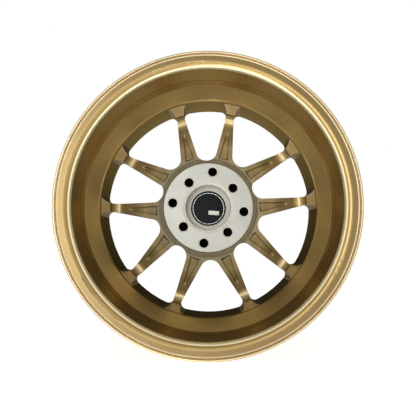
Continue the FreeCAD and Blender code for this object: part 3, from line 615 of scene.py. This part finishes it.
finish_of = {
    "rim_barrel": gold_barrel,
    "wheel_centre": gold_centre,
    "hole_plugs_small_circle": plug_hole_shade,
    "hole_plugs_large_circle": plug_hole_shade,
    "centre_cap": cap_plastic,
    "cap_wire_ring": spring_steel,
    "cap_seal": black_rubber,
    "cap_emblem_adhesive": adhesive,
    "cap_emblem": emblem_metal,
    "cap_rear_label": label,
    "valve_stem": bare_aluminium,
    "valve_grommet": black_rubber,
    "valve_washer": bare_aluminium,
    "valve_nut": bare_aluminium,
    "valve_core": brass,
    "valve_core_seal": black_rubber,
    "valve_core_pin": brass,
    "valve_core_poppet": black_rubber,
    "valve_core_spring": spring_steel,
    "valve_dust_cap": cap_plastic,
    "valve_dust_cap_seal": black_rubber,
}
for name, node in nodes.items():
    node.data.materials.clear()
    node.data.materials.append(finish_of[name])


def squeezed_spring():
    """The valve core's spring again, as a copy with its own mesh, fixed to the wheel; the original is
    hidden.
    """
    still = nodes["valve_core_spring"]
    spring = bpy.data.objects.new("valve_core_coil", still.data.copy())
    bpy.context.scene.collection.objects.link(spring)
    spring.matrix_world = still.matrix_world.copy()
    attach(spring, "wheel")
    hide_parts("valve_core_spring")
    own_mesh(spring)


squeezed_spring()


# ---------------------------------------------------------------- floor, light and camera


def studio_white():
    """The floor's matt white, which glows a little so that it stays pale."""
    recipe = Recipe("studio_white")
    tone = recipe.noise(1.4, 2.0)
    recipe.set(
        Base_Color=recipe.tint(STUDIO_WHITE, recipe.span(tone, 0.3, 0.7, 0.985, 1.015)),
        Roughness=0.9,
        Emission_Color=(1.0, 1.0, 1.0),
        Emission_Strength=0.86,
    )
    return recipe.material


def studio():
    """A wide floor under the wheel, seen by the camera and left out of the wheel's light."""
    floor_z = cad_box[0][2]
    reach = 30.0
    mesh = bpy.data.meshes.new("studio_floor")
    corners = [(-reach, -reach), (reach, -reach), (reach, reach), (-reach, reach)]
    mesh.from_pydata([(x, y, floor_z) for x, y in corners], [], [(0, 1, 2, 3)])
    mesh.materials.append(studio_white())
    floor = bpy.data.objects.new("studio_floor", mesh)
    bpy.context.scene.collection.objects.link(floor)
    floor.visible_diffuse = False
    floor.visible_glossy = False
    floor.visible_shadow = False


# The room's brightness. Behind the camera it goes by how far behind a direction points, from 1
# straight behind to 0 at the side. Ahead it goes by height, from 0 straight down to 1 straight up.
BEHIND_LEVELS = [(0.0, 1.6), (0.34, 1.3), (0.55, 0.35), (0.80, 0.80), (1.0, 1.40)]
AHEAD_LEVELS = [
    (0.0, 1.3),
    (0.20, 1.0),
    (0.34, 0.6),
    (0.43, 0.5),
    (0.51, 0.06),
    (0.62, 0.03),
    (1.0, 0.04),
]
# How warm the room's light is, how much less of it comes from above than below behind the camera,
# and where the two halves meet.
ROOM_TINT = (1.0, 0.985, 0.95)
UPPER_LOSS = 0.35
HALVES_MEET = (-0.1, 0.35)


def area_light(name, place, aim, size, power):
    """A soft rectangular lamp at place, turned towards aim, which the camera doesn't see."""
    data = bpy.data.lights.new(name, "AREA")
    data.shape = "RECTANGLE"
    data.size, data.size_y = size
    data.energy = power
    lamp = bpy.data.objects.new(name, data)
    bpy.context.scene.collection.objects.link(lamp)
    lamp.location = place
    direction = Vector(aim) - Vector(place)
    lamp.rotation_euler = direction.to_track_quat("-Z", "Y").to_euler()
    lamp.visible_camera = False


def world_light():
    """A white room to the eye. Its light comes from behind the camera, and from low down ahead."""
    world = bpy.data.worlds.new("studio_world")
    world.use_nodes = True
    tree = world.node_tree

    def node(kind, links=(), **values):
        made = tree.nodes.new(kind)
        for name, value in values.items():
            setattr(made, name, value)
        for socket, source in links:
            if isinstance(source, bpy.types.NodeSocket):
                tree.links.new(source, made.inputs[socket])
            else:
                made.inputs[socket].default_value = source
        return made

    def levels(value, stops):
        ramp = node("ShaderNodeValToRGB", [("Fac", value)])
        elements = ramp.color_ramp.elements
        while len(elements) < len(stops):
            elements.new(0.5)
        for element, (spot, level) in zip(elements, stops):
            element.position = spot
            element.color = (*(level * part for part in ROOM_TINT), 1.0)
        return ramp.outputs[0]

    def reach(value, low, high):
        span = node("ShaderNodeMapRange", [("Value", value), ("From Min", low), ("From Max", high)])
        return span.outputs[0]

    def blended(share, first, second):
        sockets = [(0, share), (6, first), (7, second)]
        return node("ShaderNodeMix", sockets, data_type="RGBA").outputs[2]

    direction = node("ShaderNodeTexCoord").outputs["Generated"]
    split = node("ShaderNodeSeparateXYZ", [(0, direction)])
    ahead, height = split.outputs["Y"], split.outputs["Z"]
    behind_light = levels(reach(ahead, 0.0, -1.0), BEHIND_LEVELS)
    lift = node("ShaderNodeMath", [(0, height), (1, -UPPER_LOSS), (2, 1.0)], operation="MULTIPLY_ADD")
    scale = [(0, behind_light), ("Scale", lift.outputs[0])]
    behind_light = node("ShaderNodeVectorMath", scale, operation="SCALE").outputs[0]
    ahead_light = levels(reach(height, -1.0, 1.0), AHEAD_LEVELS)
    lit = blended(reach(ahead, *HALVES_MEET), behind_light, ahead_light)
    seen = node("ShaderNodeLightPath").outputs["Is Camera Ray"]
    room = blended(seen, lit, (1.0, 1.0, 1.0, 1.0))
    tree.links.new(room, tree.nodes["Background"].inputs["Color"])
    bpy.context.scene.world = world


def photo_camera():
    """Nearly on the axle, on the inboard side, looking a little upward."""
    place = Vector((8.13, -794.96, -50.55)) * MM
    right = Vector((0.99993, 0.01196, 0.0))
    forward = Vector((-0.01188, 0.99293, 0.1181))
    forward.normalize()
    right = (right - forward * right.dot(forward)).normalized()
    up = right.cross(forward)
    data = bpy.data.cameras.new("photo_camera")
    data.sensor_width = 36.0
    data.lens = 44.39
    data.shift_x = 0.0018
    data.shift_y = -0.0715
    data.clip_start = 0.01
    data.clip_end = 50.0
    camera = bpy.data.objects.new("photo_camera", data)
    bpy.context.scene.collection.objects.link(camera)
    turn = Matrix((right, up, -forward)).transposed().to_4x4()
    camera.matrix_world = Matrix.Translation(place) @ turn
    bpy.context.scene.camera = camera


studio()
world_light()
area_light("key_left", (-0.6, -2.4, 0.1), (0, 0, 0), (1.0, 1.0), 14.0)
area_light("low_left", (-0.4, -1.4, -1.3), (0, 0, 0), (1.0, 0.6), 8.0)
area_light("front_low", (-0.5, 1.4, -2.0), (0, 0, 0), (1.2, 0.8), 9.0)
area_light("front_top", (0.0, 1.0, 0.62), (0, 0.1, 0.15), (1.1, 0.3), 0.2)
area_light("front_left", (-0.68, 1.0, 0.0), (0, 0.1, 0.0), (0.3, 0.8), 1.1)
area_light("front_right", (0.68, 1.0, 0.0), (0, 0.1, 0.0), (0.3, 0.8), 1.1)
photo_camera()
bpy.context.scene.view_settings.view_transform = "Standard"
